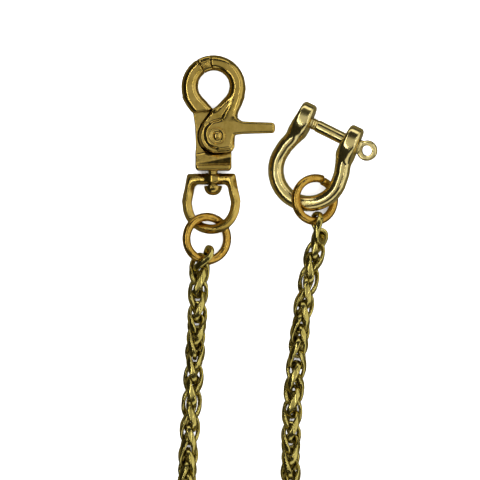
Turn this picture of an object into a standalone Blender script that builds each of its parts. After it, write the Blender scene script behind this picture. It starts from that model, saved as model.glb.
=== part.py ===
"""Pocket watch chain: a wheat-link chain with a trigger snap at one end and a bow shackle at the other.

The chain lies on a table in a long U.  X runs across the two strands, Y along them, Z up, and the
origin is on the flat back of the snap, in line with its swivel.  Every length below is in millimetres.
"""
import math

import bmesh
import bpy
import numpy as np
from mathutils import Matrix, Vector

MM = 0.001
GAP = 0.3
RUNNING_FIT = 0.06

# Trigger snap
SNAP_MID_Z = 3.3
SNAP_TOP = 6.4
PLATE_TOP = 3.0
RIVET_XY = (1.1, 7.3)
HUB_R = 4.4
LOOP_CENTRE = (0.1, 20.0)
LOOP_R = 6.25
JAW_R = 2.05
JAW_SPLIT_DEG = 122.0
JAW_TIP_GAP = 0.6
LEVER_TIP_X = 16.05
LEVER_Y = 9.4
LEVER_Z = 5.4
LEVER_R = 1.3
LEVER_FLATTEN = 0.86
BLOCK_LOW = (-4.7, -1.65)
BLOCK_HIGH = (4.8, 2.3)
RIVET_R = 1.1
RIVET_HEAD_R = 1.6
SPRING_R = 2.0
SPRING_WIRE_R = 0.2
SPRING_TURNS = 2
SPRING_POCKET_R = 2.6
SPRING_POCKET_FLOOR = 1.5

# Swivel eye and its stud
STUD_R = 1.25
STUD_HEAD_R = 2.35
STUD_TOP_Y = 0.8
STUD_HEAD_Y = -5.4
EYE_OFFSET_X = -0.5
EYE_TILT_DEG = -15.0
EYE_BAR_R = 1.4
EYE_FLATTEN = 0.78
EYE_BAR_Y = -3.65
EYE_TOP_HALF = 5.2
EYE_SIDE_HALF = 6.45
EYE_ROUND_Y = -10.2
EYE_BOSS_R = 2.2
EYE_BOSS_LIFT = 0.04

# Jump rings
SNAP_RING_CENTRE = (-1.6, -19.15, 3.2)
SNAP_RING_R = 5.63
SNAP_RING_WIRE_R = 1.1
SNAP_RING_TILT_DEG = 21.5
SNAP_RING_CUT_DEG = 262.0
SHACKLE_RING_CENTRE = (26.34, -9.06, 3.41)
SHACKLE_RING_R = 5.53
SHACKLE_RING_WIRE_R = 1.08
SHACKLE_RING_TILT_DEG = 24.0
SHACKLE_RING_CUT_DEG = 67.0
RING_CUT_GAP = 0.35

# Bow shackle: its own axes are U along the pin and V from the pin into the bow
PIN_CENTRE = (29.46, 8.61, 6.0)
PIN_TURN_DEG = -25.5
SHACKLE_LEAN_X_DEG = 6.0
SHACKLE_LEAN_Y_DEG = -12.0
EAR_U = 6.8
EAR_R = 4.6
EAR_THICK = 3.8
BOW_ROD_R = 2.05
BOW_HALF = 8.55
BOW_ROUND_V = 11.45
PIN_R = 1.43
PIN_EYE_U = 11.5
PIN_EYE_R = 2.65
PIN_EYE_HOLE_R = 1.3
PIN_EYE_THICK = 2.3

# Wheat chain: each link passes through the two before it and the two after it
LINK_PITCH = 3.16
LINK_HALF_LENGTH = 4.03
LINK_HALF_WIDTH = 2.18
LINK_WIRE_R = 0.585
LINK_TWIST_DEG = 45.0
LINK_ROUNDNESS = 2.3
LINK_POINTS = 16
LINK_COUNT = 91
CHAIN_Z = 2.85
LEFT_LINKS = 20
RIGHT_LINKS = 22
LEFT_FIRST_ROLL_DEG = 82.6
LEFT_ROLL_STEP_DEG = 98.2
RIGHT_FIRST_ROLL_DEG = -37.6
RIGHT_ROLL_STEP_DEG = 99.4
LEFT_ROUTE = [(-2.3, -24.1), (-3.46, -28.9), (-3.95, -34.5), (-4.1, -39.5), (-4.45, -45.0),
              (-5.0, -54.0), (-5.67, -63.5), (-6.4, -74.5), (-6.9, -84.0)]
RIGHT_ROUTE = [(27.1, -17.6), (26.5, -22.1), (25.5, -26.0), (24.7, -30.0), (23.7, -35.1),
               (22.4, -44.0), (21.1, -56.5), (20.4, -65.0), (20.1, -74.5), (20.1, -84.0)]

# How the last two links of each strand lie askew on their jump ring: shift, then turn in radians
LEFT_END_LIE = [((0.0, -0.7, 0.42), (0.41, -0.11, 0.08)),
                ((-0.52, -0.43, 0.33), (-0.73, 0.35, 0.63))]
RIGHT_END_LIE = [((0.08, 1.16, 0.98), (-0.32, -0.88, 0.37)),
                 ((0.32, 0.05, -0.08), (0.03, 0.05, -0.18))]

# The stretch beyond the strands is stated as plain rounded runs of the chain
RUNS = 7
RUN_R = 2.75
RUN_POINTS = 9
RUN_GAP = 0.5
RUN_DOME = ((0.0, 0.3), (0.45, 0.72), (1.2, 0.93), (2.2, 1.0))

PARTS = "pocket_watch_chain"
CUTTERS = "cutters"
MATERIALS = {
    "cast_brass": ((0.52, 0.40, 0.16), 0.22),
    "ring_brass": ((0.50, 0.33, 0.10), 0.25),
    "chain_brass": ((0.36, 0.30, 0.12), 0.32),
    "spring_steel": ((0.55, 0.55, 0.56), 0.35),
}


# ---------------------------------------------------------------- scene and object helpers

def clear_scene():
    for obj in list(bpy.data.objects):
        bpy.data.objects.remove(obj, do_unlink=True)


def new_collection(name):
    collection = bpy.data.collections.new(name)
    bpy.context.scene.collection.children.link(collection)
    return collection


def make_material(name):
    colour, roughness = MATERIALS[name]
    material = bpy.data.materials.new(name)
    material.use_nodes = True
    shader = material.node_tree.nodes["Principled BSDF"]
    shader.inputs["Base Color"].default_value = (*colour, 1.0)
    shader.inputs["Roughness"].default_value = roughness
    shader.inputs["Metallic"].default_value = 1.0
    return material


def material_for(name):
    return bpy.data.materials.get(name) or make_material(name)


def add_object(name, data, material, collection=PARTS):
    obj = bpy.data.objects.new(name, data)
    bpy.data.collections[collection].objects.link(obj)
    if material and not data.materials:
        data.materials.append(material_for(material))
    return obj


def polyline_curve(name, points, radius, resolution=1, closed=False, radii=None):
    """A wire through the points; radii scale the wire's thickness point by point."""
    curve = bpy.data.curves.new(name, "CURVE")
    curve.dimensions = "3D"
    curve.bevel_depth = radius * MM
    curve.bevel_resolution = resolution
    curve.use_fill_caps = not closed
    spline = curve.splines.new("POLY")
    spline.points.add(len(points) - 1)
    for index, (spline_point, place) in enumerate(zip(spline.points, points)):
        spline_point.co = (*(Vector(place) * MM), 1.0)
        if radii:
            spline_point.radius = radii[index]
    spline.use_cyclic_u = closed
    return curve


def as_mesh(obj):
    """Turn a curve object into a welded mesh object in the same place."""
    evaluated = obj.evaluated_get(bpy.context.evaluated_depsgraph_get())
    mesh = bpy.data.meshes.new_from_object(evaluated)
    work = bmesh.new()
    work.from_mesh(mesh)
    bmesh.ops.remove_doubles(work, verts=work.verts, dist=0.002 * MM)
    work.to_mesh(mesh)
    work.free()
    made = bpy.data.objects.new(obj.name, mesh)
    for collection in obj.users_collection:
        collection.objects.link(made)
    made.matrix_world = obj.matrix_world.copy()
    name = obj.name
    bpy.data.objects.remove(obj, do_unlink=True)
    made.name = name
    return made


def box(name, low, high, material=None, collection=PARTS, bevel=0.0, segments=2):
    """A box from its lowest to its highest corner, with rounded edges if asked."""
    mesh = bpy.data.meshes.new(name)
    work = bmesh.new()
    bmesh.ops.create_cube(work, size=1.0)
    size = Vector(high) - Vector(low)
    centre = (Vector(high) + Vector(low)) / 2
    bmesh.ops.scale(work, vec=size * MM, verts=work.verts)
    bmesh.ops.translate(work, vec=centre * MM, verts=work.verts)
    if bevel:
        bmesh.ops.bevel(work, geom=work.edges[:], offset=bevel * MM, segments=segments,
                        profile=0.5, affect="EDGES")
    work.to_mesh(mesh)
    work.free()
    return add_object(name, mesh, material, collection)


def cylinder(name, base, top, radius, material=None, collection=PARTS, sides=24):
    """A cylinder from the base point to the top point."""
    base = Vector(base)
    axis = Vector(top) - base
    mesh = bpy.data.meshes.new(name)
    work = bmesh.new()
    bmesh.ops.create_cone(work, cap_ends=True, segments=sides, radius1=radius * MM,
                          radius2=radius * MM, depth=axis.length * MM)
    turn = axis.to_track_quat("Z", "Y").to_matrix().to_4x4()
    place = Matrix.Translation((base + axis / 2) * MM) @ turn
    bmesh.ops.transform(work, matrix=place, verts=work.verts)
    work.to_mesh(mesh)
    work.free()
    return add_object(name, mesh, material, collection)


def turned(name, profile, material, steps=24):
    """A solid of revolution about its own Z from (radius, height) pairs, top to bottom."""
    mesh = bpy.data.meshes.new(name)
    work = bmesh.new()
    corners = [work.verts.new((radius * MM, 0.0, height * MM)) for radius, height in profile]
    for start, end in zip(corners, corners[1:]):
        work.edges.new((start, end))
    work.to_mesh(mesh)
    work.free()
    obj = add_object(name, mesh, material)
    screw = obj.modifiers.new("turn", "SCREW")
    screw.steps = steps
    screw.render_steps = steps
    screw.use_merge_vertices = True
    screw.merge_threshold = 0.00001
    return obj


def combine(target, other, operation):
    """Join another solid to the target, or cut it away, and drop the other solid."""
    modifier = target.modifiers.new(operation.lower(), "BOOLEAN")
    modifier.operation = operation
    modifier.solver = "EXACT"
    modifier.object = other
    evaluated = target.evaluated_get(bpy.context.evaluated_depsgraph_get())
    mesh = bpy.data.meshes.new_from_object(evaluated)
    target.modifiers.clear()
    target.data = mesh
    bpy.data.objects.remove(other, do_unlink=True)
    return target


def cut(target, other):
    other.hide_render = True
    other.display_type = "WIRE"
    return combine(target, other, "DIFFERENCE")


def finish(obj, material):
    obj.data.materials.clear()
    obj.data.materials.append(material_for(material))
    obj.data.shade_smooth()
    obj.data.set_sharp_from_angle(angle=math.radians(35.0))
    return obj


def set_origin(obj, place):
    """Move the object's origin to a point on its joint, leaving its shape where it is."""
    shift = Vector(place) * MM
    obj.data.transform(Matrix.Translation(-shift))
    obj.location = shift
    return obj


# ---------------------------------------------------------------- shared geometry

def circle_points(centre, radius, start_deg, end_deg, count, z):
    angles = np.radians(np.linspace(start_deg, end_deg, count))
    return [(centre[0] + radius * math.cos(a), centre[1] + radius * math.sin(a), z) for a in angles]


def catmull_rom(points, steps=8):
    """A smooth curve through every point."""
    ring = [2 * Vector(points[0]) - Vector(points[1])]
    ring += [Vector(point) for point in points]
    ring += [2 * Vector(points[-1]) - Vector(points[-2])]
    curve = []
    for a, b, c, d in zip(ring, ring[1:], ring[2:], ring[3:]):
        for step in range(steps):
            t = step / steps
            curve.append(0.5 * (2 * b + (c - a) * t + (2 * a - 5 * b + 4 * c - d) * t * t
                                + (3 * b - a - 3 * c + d) * t ** 3))
    curve.append(Vector(points[-1]))
    return curve


def shackle_matrix():
    """The shackle's own axes (U, V, normal) and its pin's centre, in millimetres."""
    turn = Matrix.Rotation(math.radians(PIN_TURN_DEG), 3, "Z")
    lean = (Matrix.Rotation(math.radians(SHACKLE_LEAN_X_DEG), 3, "X")
            @ Matrix.Rotation(math.radians(SHACKLE_LEAN_Y_DEG), 3, "Y"))
    axes = lean @ turn
    u = axes @ Vector((1, 0, 0))
    v = axes @ Vector((0, -1, 0))
    n = axes @ Vector((0, 0, 1))
    return u, v, n


def shackle_point(u_mm, v_mm, n_mm=0.0):
    u, v, n = shackle_matrix()
    return Vector(PIN_CENTRE) + u * u_mm + v * v_mm + n * n_mm


# ---------------------------------------------------------------- chain route and links

def chain_route():
    """The chain's centre line, from the snap's end round the U to the shackle's end."""
    left = catmull_rom([(x, y, CHAIN_Z) for x, y in LEFT_ROUTE])
    right = catmull_rom([(x, y, CHAIN_Z) for x, y in RIGHT_ROUTE])
    bend_r = (right[-1].x - left[-1].x) / 2
    length = (LINK_COUNT - 1) * LINK_PITCH
    drawn = sum((b - a).length for side in (left, right) for a, b in zip(side, side[1:]))
    straight = (length - drawn - math.pi * bend_r) / 2
    centre = (left[-1].x + bend_r, left[-1].y - straight)
    bend = [Vector(p) for p in circle_points(centre, bend_r, 180.0, 360.0, 61, CHAIN_Z)]
    return left + bend + right[::-1]


class Route:
    """A polyline measured along its length."""

    def __init__(self, points):
        self.points = np.array([tuple(point) for point in points])
        steps = np.linalg.norm(np.diff(self.points, axis=0), axis=1)
        self.along = np.concatenate([[0.0], np.cumsum(steps)])
        self.length = self.along[-1]

    def point(self, distance):
        return Vector([np.interp(distance, self.along, self.points[:, axis]) for axis in range(3)])

    def tangent(self, distance):
        return (self.point(distance + 0.5) - self.point(distance - 0.5)).normalized()


def link_curve(name, hand):
    """One closed link: a rounded oval twisted about its long axis, right or left handed."""
    points = []
    for angle in np.linspace(0.0, 2 * math.pi, LINK_POINTS, endpoint=False):
        c, s = math.cos(angle), math.sin(angle)
        across = LINK_HALF_WIDTH * math.copysign(abs(c) ** (2 / LINK_ROUNDNESS), c)
        along = math.copysign(abs(s) ** (2 / LINK_ROUNDNESS), s)
        twist = hand * math.radians(LINK_TWIST_DEG) * along
        points.append((across * math.cos(twist), across * math.sin(twist), LINK_HALF_LENGTH * along))
    return polyline_curve(name, points, LINK_WIRE_R, closed=True)


def link_place(route, distance, away, roll_deg):
    """A link's place: its long axis along the chain, turned about it by the roll."""
    along = route.tangent(distance) * away
    up = Vector((0, 0, 1))
    side = along.cross(up).normalized()
    roll = math.radians(roll_deg)
    width = side * math.cos(roll) + up * math.sin(roll)
    axes = Matrix((width, along.cross(width), along)).transposed().to_4x4()
    return Matrix.Translation(route.point(distance) * MM) @ axes


def lie_askew(place, lie):
    """Shift a link and turn it about its own centre."""
    shift, turn = lie
    turn = Vector(turn)
    rotation = Matrix.Rotation(turn.length, 4, turn)
    centre = place.to_translation()
    return (Matrix.Translation(centre + Vector(shift) * MM) @ rotation
            @ Matrix.Translation(-centre) @ place)


def strand_places(route, side):
    """The matrices of one strand's links, counted from its jump ring."""
    places = []
    if side == "left":
        count, first, step, lies = LEFT_LINKS, LEFT_FIRST_ROLL_DEG, LEFT_ROLL_STEP_DEG, LEFT_END_LIE
    else:
        count, first, step, lies = RIGHT_LINKS, RIGHT_FIRST_ROLL_DEG, RIGHT_ROLL_STEP_DEG, RIGHT_END_LIE
    for index in range(count):
        distance = index * LINK_PITCH
        away = 1.0
        if side == "right":
            distance = route.length - distance
            away = -1.0
        place = link_place(route, distance, away, first + step * index)
        if index < len(lies):
            place = lie_askew(place, lies[index])
        places.append(place)
    return places


def build_strand(route, side):
    hands = (link_curve(side + "_right_hand_link", 1), link_curve(side + "_left_hand_link", -1))
    for index, place in enumerate(strand_places(route, side)):
        link = add_object(f"{side}_link_{index + 1:02d}", hands[index % 2], "chain_brass")
        link.matrix_world = place


def run_limits(route):
    """Where each plain run of chain starts and ends along the route."""
    clear = LINK_HALF_LENGTH + LINK_WIRE_R + GAP
    start = (LEFT_LINKS - 1) * LINK_PITCH + clear
    end = route.length - (RIGHT_LINKS - 1) * LINK_PITCH - clear
    edges = np.linspace(start, end, RUNS + 1)
    limits = []
    for index in range(RUNS):
        low = edges[index] + (RUN_GAP / 2 if index else 0.0)
        high = edges[index + 1] - (RUN_GAP / 2 if index < RUNS - 1 else 0.0)
        limits.append((low, high))
    return limits


def build_runs(route):
    for index, (low, high) in enumerate(run_limits(route)):
        near = [(low + depth, share) for depth, share in RUN_DOME]
        far = [(high - depth, share) for depth, share in reversed(RUN_DOME)]
        middle = np.linspace(near[-1][0], far[0][0], RUN_POINTS)[1:-1]
        stations = near + [(distance, 1.0) for distance in middle] + far
        points = [route.point(distance) for distance, _ in stations]
        radii = [share for _, share in stations]
        centre = route.point((low + high) / 2)
        curve = polyline_curve(f"chain_run_{index + 1}", [p - centre for p in points], RUN_R,
                               resolution=2, radii=radii)
        run = add_object(f"chain_run_{index + 1}", curve, "chain_brass")
        run.location = centre * MM


# ---------------------------------------------------------------- trigger snap

def build_snap_body():
    """The snap's casting: fixed jaw, recessed plate under the hub, and block for the swivel."""
    jaw = [(-1.3, 11.2, 2.6), (-3.2, 12.8, 3.1), (-4.9, 15.2, SNAP_MID_Z)]
    jaw += circle_points(LOOP_CENTRE, LOOP_R, 202.0, JAW_SPLIT_DEG, 10, SNAP_MID_Z)
    radii = [0.75, 0.9, 1.0] + [1.0] * 10
    body = as_mesh(add_object("snap_body", polyline_curve("jaw", jaw, JAW_R, 2, radii=radii), None))
    plate = box("plate", (-4.55, 1.0, 0.0), (3.9, 11.6, PLATE_TOP), bevel=0.35, segments=1)
    combine(body, plate, "UNION")
    block = box("block", (*BLOCK_LOW, 0.0), (*BLOCK_HIGH, SNAP_TOP), bevel=0.8)
    combine(body, block, "UNION")
    x, y = RIVET_XY
    under = (x, y, -1.0)
    cut(body, cylinder("shaft_hole", under, (x, y, 9.0), RIVET_R + RUNNING_FIT, None, CUTTERS))
    cut(body, cylinder("tail_seat", under, (x, y, 0.9), RIVET_HEAD_R + RUNNING_FIT, None, CUTTERS))
    cut(body, cylinder("spring_pocket", (x, y, SPRING_POCKET_FLOOR), (x, y, 9.0), SPRING_POCKET_R,
                       None, CUTTERS))
    cut(body, cylinder("hub_clearance", (x, y, PLATE_TOP + 0.01), (x, y, 9.0), HUB_R + GAP,
                       None, CUTTERS, sides=32))
    cut(body, cylinder("stud_bore", (0, -3, SNAP_MID_Z), (0, STUD_TOP_Y + 0.2, SNAP_MID_Z),
                       STUD_R + RUNNING_FIT, None, CUTTERS))
    return finish(body, "cast_brass")


def build_trigger_jaw():
    """The moving jaw with its hub and thumb lever, turning on the rivet."""
    x, y = RIVET_XY
    hub_low = PLATE_TOP + GAP
    start_deg = JAW_SPLIT_DEG - math.degrees(JAW_TIP_GAP / LOOP_R)
    arm = circle_points(LOOP_CENTRE, LOOP_R, start_deg, -18.0, 14, SNAP_MID_Z)
    arm += [(4.9, 15.2, 3.9), (3.4, 12.6, 4.6), (2.2, 9.8, 4.85)]
    radii = [1.0] * 14 + [0.95, 0.82, 0.72]
    jaw = as_mesh(add_object("trigger_jaw", polyline_curve("arm", arm, JAW_R, 2, radii=radii), None))
    hub = cylinder("hub", (x, y, hub_low), (x, y, SNAP_TOP), HUB_R, sides=32)
    combine(jaw, hub, "UNION")
    tip_x = LEVER_TIP_X
    reach = [(x + 1.0, LEVER_Y, 0.0), (tip_x - 1.0, LEVER_Y, 0.0), (tip_x - 0.3, LEVER_Y, 0.0),
             (tip_x, LEVER_Y, 0.0)]
    lever = as_mesh(add_object("lever", polyline_curve("lever", reach, LEVER_R, 2,
                                                       radii=[1.0, 1.0, 0.8, 0.4]), None))
    lever.data.transform(Matrix.Diagonal((1.0, 1.0, LEVER_FLATTEN, 1.0)))
    lever.data.transform(Matrix.Translation((0.0, 0.0, LEVER_Z * MM)))
    combine(jaw, lever, "UNION")
    cut(jaw, box("under_hub", (x - 5.2, y - 5.0, -1.0), (x + 4.0, 12.6, hub_low), None, CUTTERS))
    cut(jaw, cylinder("rivet_hole", (x, y, -1.0), (x, y, 9.0), RIVET_R + RUNNING_FIT, None, CUTTERS))
    set_origin(jaw, (x, y, hub_low))
    return finish(jaw, "cast_brass")


def build_rivet():
    """The jaw's rivet: a domed head on top, a shaft, and a tail spread in the plate's seat."""
    fit = RUNNING_FIT
    profile = [(0.0, SNAP_TOP + 0.75), (0.9, SNAP_TOP + 0.62), (RIVET_HEAD_R, SNAP_TOP + fit),
               (RIVET_R, SNAP_TOP + fit), (RIVET_R, 0.9 - fit), (RIVET_HEAD_R, 0.9 - fit),
               (RIVET_HEAD_R, 0.15), (0.0, 0.15)]
    rivet = turned("jaw_rivet", profile, "cast_brass")
    rivet.location = Vector((*RIVET_XY, 0.0)) * MM


def build_spring():
    """The torsion spring hidden round the rivet, which closes the jaw."""
    points = []
    rise = PLATE_TOP - SPRING_POCKET_FLOOR - 4 * SPRING_WIRE_R
    turns_deg = SPRING_TURNS * 360
    for angle in np.arange(0.0, turns_deg + 1, 30.0):
        a = math.radians(angle)
        points.append((SPRING_R * math.cos(a), SPRING_R * math.sin(a), rise * angle / turns_deg))
    spring = add_object("jaw_spring", polyline_curve("jaw_spring", points, SPRING_WIRE_R),
                        "spring_steel")
    spring.location = Vector((*RIVET_XY, SPRING_POCKET_FLOOR + 2 * SPRING_WIRE_R)) * MM


def build_stud():
    """The swivel stud: fast in the block, with a domed head inside the eye."""
    head = STUD_HEAD_R
    top = STUD_HEAD_Y
    profile = [(0.0, STUD_TOP_Y), (STUD_R, STUD_TOP_Y), (STUD_R, top), (head, top - 0.25)]
    for angle in (20.0, 45.0, 70.0):
        a = math.radians(angle)
        profile.append((head * math.cos(a), top - 0.25 - 2.3 * math.sin(a)))
    profile.append((0.0, top - 0.25 - 2.3))
    stud = turned("swivel_stud", profile, "cast_brass")
    stud.rotation_euler = (math.radians(-90.0), 0.0, 0.0)
    stud.location = Vector((0.0, 0.0, SNAP_MID_Z)) * MM


def build_swivel_eye():
    """The D-shaped eye that turns on the stud."""
    top, side, bar_y = EYE_TOP_HALF, EYE_SIDE_HALF, EYE_BAR_Y
    right = [(top - 0.9, bar_y), (top, bar_y - 0.5), (side - 0.25, -6.9)]
    lower = circle_points((0.0, EYE_ROUND_Y), side, 0.0, -180.0, 15, 0.0)
    outline = [(x, y, 0.0) for x, y in right] + lower
    outline += [(-x, y, 0.0) for x, y in reversed(right)]
    eye = as_mesh(add_object("swivel_eye", polyline_curve("eye", outline, EYE_BAR_R, 2, True), None))
    eye.data.transform(Matrix.Diagonal((1.0, 1.0, EYE_FLATTEN, 1.0)))
    eye.data.transform(Matrix.Translation((EYE_OFFSET_X * MM, 0.0, 0.0)))
    half = EYE_BAR_R + 0.05
    lift = EYE_BOSS_LIFT
    boss = cylinder("boss", (0.0, bar_y - half, lift), (0.0, bar_y + half, lift), EYE_BOSS_R, sides=16)
    combine(eye, boss, "UNION")
    hole = cylinder("stud_hole", (0.0, bar_y - 3, 0.0), (0.0, bar_y + 3, 0.0),
                    STUD_R + 1.5 * RUNNING_FIT, None, CUTTERS)
    cut(eye, hole)
    eye.rotation_euler = (0.0, math.radians(EYE_TILT_DEG), 0.0)
    eye.location = (0.0, 0.0, SNAP_MID_Z * MM)
    return finish(eye, "cast_brass")


# ---------------------------------------------------------------- jump rings and shackle

def build_ring(name, centre, radius, wire_r, tilt_deg, cut_deg):
    """A jump ring: round wire bent into a circle whose ends meet at a fine cut."""
    half = math.degrees(RING_CUT_GAP / 2 / radius)
    points = circle_points((0.0, 0.0), radius, cut_deg + half, cut_deg + 360.0 - half, 26, 0.0)
    ring = add_object(name, polyline_curve(name, points, wire_r, 2), "ring_brass")
    ring.rotation_euler = (0.0, math.radians(tilt_deg), 0.0)
    ring.location = Vector(centre) * MM


def bow_route():
    """The bow's centre line in shackle axes, from one ear round to the other."""
    right = [(EAR_U, 0.0), (EAR_U + 0.1, 2.6), (EAR_U + 0.45, 5.4), (BOW_HALF - 0.35, 8.4)]
    lower = circle_points((0.0, BOW_ROUND_V), BOW_HALF, 0.0, 180.0, 15, 0.0)
    return right + [(x, y) for x, y, _ in lower] + [(-u, v) for u, v in reversed(right)]


def build_bow():
    """The shackle's bow, with a flat round ear at each end bored for the pin."""
    route = [shackle_point(u, v) for u, v in bow_route()]
    bow = as_mesh(add_object("shackle_bow", polyline_curve("bow", route, BOW_ROD_R, 2), None))
    for side in (-1, 1):
        inner = shackle_point(side * (EAR_U - EAR_THICK / 2), 0.0)
        outer = shackle_point(side * (EAR_U + EAR_THICK / 2), 0.0)
        combine(bow, cylinder("ear", inner, outer, EAR_R, sides=24), "UNION")
    ends = shackle_point(-EAR_U - 5, 0.0), shackle_point(EAR_U + 5, 0.0)
    cut(bow, cylinder("pin_hole", *ends, PIN_R + RUNNING_FIT, None, CUTTERS))
    set_origin(bow, shackle_point(0.0, BOW_ROUND_V + BOW_HALF))
    return finish(bow, "cast_brass")


def build_pin():
    """The screw pin: a round shaft with a flat drilled eye to turn it by."""
    start = shackle_point(-EAR_U - EAR_THICK / 2 + 0.2, 0.0)
    pin = cylinder("shackle_pin", start, shackle_point(PIN_EYE_U - 1.9, 0.0), PIN_R)
    half = PIN_EYE_THICK / 2
    eye = cylinder("eye", shackle_point(PIN_EYE_U, 0.0, -half), shackle_point(PIN_EYE_U, 0.0, half),
                   PIN_EYE_R)
    combine(pin, eye, "UNION")
    cut(pin, cylinder("eye_hole", shackle_point(PIN_EYE_U, 0.0, -4), shackle_point(PIN_EYE_U, 0.0, 4),
                      PIN_EYE_HOLE_R, None, CUTTERS, sides=20))
    set_origin(pin, PIN_CENTRE)
    return finish(pin, "cast_brass")


# ---------------------------------------------------------------- the whole chain

def build_model():
    clear_scene()
    new_collection(PARTS)
    new_collection(CUTTERS)
    build_snap_body()
    build_trigger_jaw()
    build_rivet()
    build_spring()
    build_stud()
    build_swivel_eye()
    build_ring("snap_jump_ring", SNAP_RING_CENTRE, SNAP_RING_R, SNAP_RING_WIRE_R,
               SNAP_RING_TILT_DEG, SNAP_RING_CUT_DEG)
    build_ring("shackle_jump_ring", SHACKLE_RING_CENTRE, SHACKLE_RING_R, SHACKLE_RING_WIRE_R,
               SHACKLE_RING_TILT_DEG, SHACKLE_RING_CUT_DEG)
    build_bow()
    build_pin()
    route = Route(chain_route())
    build_strand(route, "left")
    build_strand(route, "right")
    build_runs(route)


build_model()
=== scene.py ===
"""The looks of the pocket watch chain: worn brass castings, bent wire rings and every wheat link.

Lengths are in millimetres until a mesh is written. Places repeat the part's driving dimensions.
"""

import itertools
import math

import bpy
import numpy as np
from mathutils import Matrix, Vector


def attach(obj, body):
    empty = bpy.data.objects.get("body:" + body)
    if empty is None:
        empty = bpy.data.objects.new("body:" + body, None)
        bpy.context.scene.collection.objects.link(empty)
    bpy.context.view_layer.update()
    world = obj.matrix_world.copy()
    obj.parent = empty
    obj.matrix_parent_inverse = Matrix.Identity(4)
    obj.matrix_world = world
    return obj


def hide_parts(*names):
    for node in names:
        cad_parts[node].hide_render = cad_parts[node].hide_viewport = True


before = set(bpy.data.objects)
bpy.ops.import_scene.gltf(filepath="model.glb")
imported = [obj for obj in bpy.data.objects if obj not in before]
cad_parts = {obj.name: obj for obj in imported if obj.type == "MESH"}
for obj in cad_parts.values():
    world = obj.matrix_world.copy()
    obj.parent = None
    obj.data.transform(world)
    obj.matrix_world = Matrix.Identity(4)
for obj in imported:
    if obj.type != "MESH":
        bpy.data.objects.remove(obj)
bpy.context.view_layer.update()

MM = 0.001

# Snap
SNAP_MID_Z = 3.3
SNAP_TOP = 6.4
PLATE_TOP = 3.0
HUB_LOW = 3.3
HUB_TOP = 5.75
RIVET = (1.1, 7.3)
RIVET_BORE_R = 1.16
LOOP = (0.1, 20.0)
LOOP_OUT_R = 8.3
BAR_HALF = 2.05
BAR_ROUNDING = 1.8
OPENING = (0.18, 20.28)
OPENING_R = 4.06
APEX = (0.16, 14.25)
JAW_SPLIT_DEG = 122.0
JAW_SPLIT_GAP = 0.02
HUB_R = 4.4
HUB_SLOPE = 0.13
FACE_LOW = 4.1
FACE_SLOPE = 0.26
LEVER_Y = 9.4
LEVER_TIP_X = 16.05
LEVER_CORNER = 1.0

# Swivel eye
EYE_SHIFT_X = -0.5
EYE_TILT_DEG = -15.0
EYE_HALF_DEPTH = 1.6
STUD_R = 1.25
STUD_GAP = 0.1

# Jump rings: centre, radius, wire radius, tilt and cut angle in degrees
SNAP_RING = ((-1.6, -19.15, 3.2), 5.63, 1.1, 21.5, 262.0)
SHACKLE_RING = ((26.34, -9.06, 3.41), 5.53, 1.08, 24.0, 67.0)
RING_HALF_GAP = 0.16
RING_END_SPAN_DEG = 40.0

# Shackle, with its own axes: U along the pin, V into the bow, N down out of its plane
PIN_CENTRE = (29.46, 8.61, 6.0)
PIN_TURN_DEG = -25.5
LEAN_X_DEG = 6.0
LEAN_Y_DEG = -12.0
EAR_U = 6.8
EAR_R = 4.5
EAR_HALF = 1.9
EAR_HALF_DEPTH = 3.5
EAR_ROUNDING = 0.95
ROD_R = 2.05
BOW_HALF = 8.55
BOW_ROUND_V = 11.45
BOW_RISE = 0.14
PIN_R = 1.6
PIN_EYE_U = 11.5
PIN_EYE_R = 2.65
PIN_EYE_HOLE_R = 1.3
PIN_COLLAR_R = 1.85
THREAD_PITCH = 0.6
THREAD_DEPTH = 0.26
THREAD_END_U = -3.3
UNDERCUT_END_U = -2.95

# Wheat chain
LINK_PITCH = 3.16
LINK_HALF_LENGTH = 4.03
LINK_HALF_WIDTH = 2.18
LINK_TWIST_DEG = 45.0
LINK_ROUNDNESS = 2.3
LINK_COUNT = 91
LINK_BAR_POWER = 0.85
LINK_FLAT = 0.86
LINK_STATIONS = 56
LINK_SIDES = 16
LINK_SHARP_DEG = 32.0
CHAIN_Z = 2.85
LEFT_LINKS = 20
RIGHT_LINKS = 22
RUNS = 7
# Roll of a strand's first link, and the step from each link to the next, in degrees
LEFT_ROLL = (82.6, 98.2)
RIGHT_ROLL = (-37.6, 99.4)
LEFT_ROUTE = [(-2.3, -24.1), (-3.46, -28.9), (-3.95, -34.5), (-4.1, -39.5), (-4.45, -45.0),
              (-5.0, -54.0), (-5.67, -63.5), (-6.4, -74.5), (-6.9, -84.0)]
RIGHT_ROUTE = [(27.1, -17.6), (26.5, -22.1), (25.5, -26.0), (24.7, -30.0), (23.7, -35.1),
               (22.4, -44.0), (21.1, -56.5), (20.4, -65.0), (20.1, -74.5), (20.1, -84.0)]
# How each strand's first two links lie off the regular place: shift, then turn in radians
LEFT_END_LIE = [((0.0, -0.7, 0.42), (0.41, -0.11, -0.25)),
                ((-0.45, -0.1, -0.2), (-0.1, 0.0, 0.2))]
RIGHT_END_LIE = [((0.08, 1.16, 0.98), (-0.32, -0.88, 0.37)),
                 ((0.32, 0.05, -0.08), (0.03, 0.05, -0.18))]


# ---------------------------------------------------------------- materials

def node_kit(name):
    """A new metallic material, with what is needed to add nodes to it."""
    material = bpy.data.materials.new(name)
    material.use_nodes = True
    nodes = material.node_tree.nodes
    links = material.node_tree.links
    shader = nodes["Principled BSDF"]
    shader.inputs["Metallic"].default_value = 1.0
    return material, nodes, links, shader


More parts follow.
